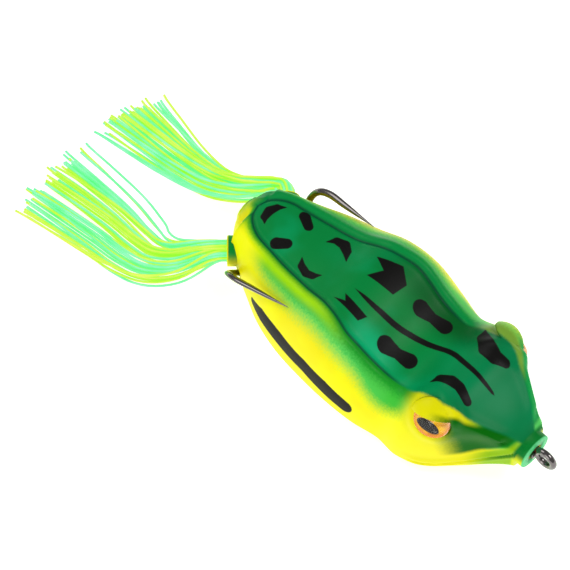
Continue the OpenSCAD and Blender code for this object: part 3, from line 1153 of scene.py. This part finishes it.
class LureStageSettings(bpy.types.PropertyGroup):
    """Where the camera stands."""
    turn: bpy.props.FloatProperty(name="Turn", description="Where the camera stands round the lure",
                                  default=math.radians(-46.5), subtype="ANGLE")
    tilt: bpy.props.FloatProperty(name="Tilt", description="How far the camera looks down",
                                  default=math.radians(62), subtype="ANGLE")
    away: bpy.props.FloatProperty(name="Distance", description="Camera to lure", default=0.5,
                                  unit="LENGTH")


class LURE_OT_shell(bpy.types.Operator):
    """Make the painted soft shell"""
    bl_idname = "lure.shell"
    bl_label = "Shell"

    def execute(self, context):
        shell = make_shell()
        finish_piece(shell, "lure_body", "shell_skin", frog_paint(), "body_shell")
        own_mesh(shell)
        return {"FINISHED"}


class LURE_OT_hook(bpy.types.Operator):
    """Make the hook wire and finish the weight and the nose seal"""
    bl_idname = "lure.hook"
    bl_label = "Hook and weight"

    def execute(self, context):
        finish_piece(make_hook(), "lure_body", "hook_steel", hook_steel(), "double_hook")
        for node, material in (("keel_weight", cast_metal()), ("nose_seal", cured_glue())):
            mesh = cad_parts[node].data
            mesh.materials.clear()
            mesh.materials.append(material)
        return {"FINISHED"}


class LURE_OT_eyes(bpy.types.Operator):
    """Make both foil eyes and their clear domes"""
    bl_idname = "lure.eyes"
    bl_label = "Eyes"

    def execute(self, context):
        resin = clear_dome()
        for side, word in ((-1, "right"), (1, "left")):
            finish_piece(make_foil(side), "eyes", "eye_foil", foil_gold(side), word + "_eye_foil")
            finish_piece(make_dome(side), "eyes", "eye_dome", resin, word + "_eye_dome")
        return {"FINISHED"}


class LURE_OT_skirts(bpy.types.Operator):
    """Make both skirts, strand by strand, with their bands"""
    bl_idname = "lure.skirts"
    bl_label = "Skirts"

    def execute(self, context):
        sizes = context.scene.lure_skirts
        lime = silicone("silicone_lime", tuple(sizes.lime), paint(190, 255, 60))
        mint = silicone("silicone_mint", tuple(sizes.mint), paint(110, 255, 160))
        rubber = band_rubber()
        right = strand_lines(RIGHT_LEG, -1, sizes.right_spread, 11, (2.6, 0.4), 0.0)
        left = strand_lines(LEFT_LEG, 1, sizes.left_spread, 29, (0.0, -1.8), 0.055)
        for side, word, lines in ((-1, "right", right), (1, "left", left)):
            dice = random.Random(5 + side)
            kinds = ["lime" if dice.random() < 0.5 else "mint" for _ in lines]
            hinge = sided(LEG_FACE, side) * MM
            way = sided(LEG_DIR, side) * MM
            for kind, material in (("lime", lime), ("mint", mint)):
                piece = make_skirt(f"{word}_strands_{kind}", [q for q, k in zip(lines, kinds) if k == kind])
                nodes = [f"{word}_skirt_{kind}"]
                if kind == "lime":
                    nodes.append(f"{word}_skirt_neck")
                finish_piece(piece, None, f"skirt_{kind}", material, *nodes)
                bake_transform(piece)
            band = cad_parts[f"{word}_skirt_band"].data
            band.materials.clear()
            band.materials.append(rubber)
        return {"FINISHED"}


class LURE_OT_stage(bpy.types.Operator):
    """Lay the floor, set the lights and the camera"""
    bl_idname = "lure.stage"
    bl_label = "Stage"

    def execute(self, context):
        stage = context.scene.lure_stage
        low = CAD_BOX[0][2]
        bm = bmesh.new()
        bmesh.ops.create_grid(bm, x_segments=2, y_segments=2, size=FLOOR_SIZE,
                              matrix=Matrix.Translation((0, 40, low / MM)))
        floor = new_object("floor", bm)
        floor.data.materials.append(pale_floor())
        for light in LIGHTS:
            soft_light(*light)
        world = bpy.data.worlds.new("studio")
        context.scene.world = world
        world.use_nodes = True
        glow = world.node_tree.nodes["Background"].inputs
        glow["Color"].default_value = (1, 1, 1, 1)
        glow["Strength"].default_value = WORLD_GLOW
        context.scene.view_settings.view_transform = "Standard"
        back = Vector((math.sin(stage.turn) * math.cos(stage.tilt),
                       -math.cos(stage.turn) * math.cos(stage.tilt), math.sin(stage.tilt)))
        data = bpy.data.cameras.new("camera")
        data.lens = LENS
        data.sensor_width = 36
        data.clip_start = 0.01
        camera = bpy.data.objects.new("camera", data)
        camera.location = CAMERA_AIM + back * stage.away
        camera.rotation_euler = (-back).to_track_quat("-Z", "Y").to_euler()
        context.collection.objects.link(camera)
        context.scene.camera = camera
        return {"FINISHED"}


class LURE_PT_panel(bpy.types.Panel):
    """Buttons for every piece"""
    bl_idname = "LURE_PT_panel"
    bl_label = "Frog lure"
    bl_space_type = "VIEW_3D"
    bl_region_type = "UI"
    bl_category = "Frog lure"

    def draw(self, context):
        for group in (context.scene.lure_skirts, context.scene.lure_stage):
            for key in group.__annotations__:
                self.layout.prop(group, key)
        for step in STEPS:
            self.layout.operator(step.bl_idname)


GROUPS = (LureSkirtSettings, LureStageSettings)
STEPS = (LURE_OT_stage, LURE_OT_shell, LURE_OT_hook, LURE_OT_eyes, LURE_OT_skirts)


def register():
    for part in (*GROUPS, *STEPS, LURE_PT_panel):
        bpy.utils.register_class(part)
    bpy.types.Scene.lure_skirts = bpy.props.PointerProperty(type=LureSkirtSettings)
    bpy.types.Scene.lure_stage = bpy.props.PointerProperty(type=LureStageSettings)


def unregister():
    del bpy.types.Scene.lure_stage
    del bpy.types.Scene.lure_skirts
    for part in reversed((*GROUPS, *STEPS, LURE_PT_panel)):
        bpy.utils.unregister_class(part)


def main():
    """Builds the whole lure."""
    register()
    bpy.ops.lure.stage()
    bpy.ops.lure.shell()
    bpy.ops.lure.hook()
    bpy.ops.lure.eyes()
    bpy.ops.lure.skirts()


if __name__ == "__main__":
    main()
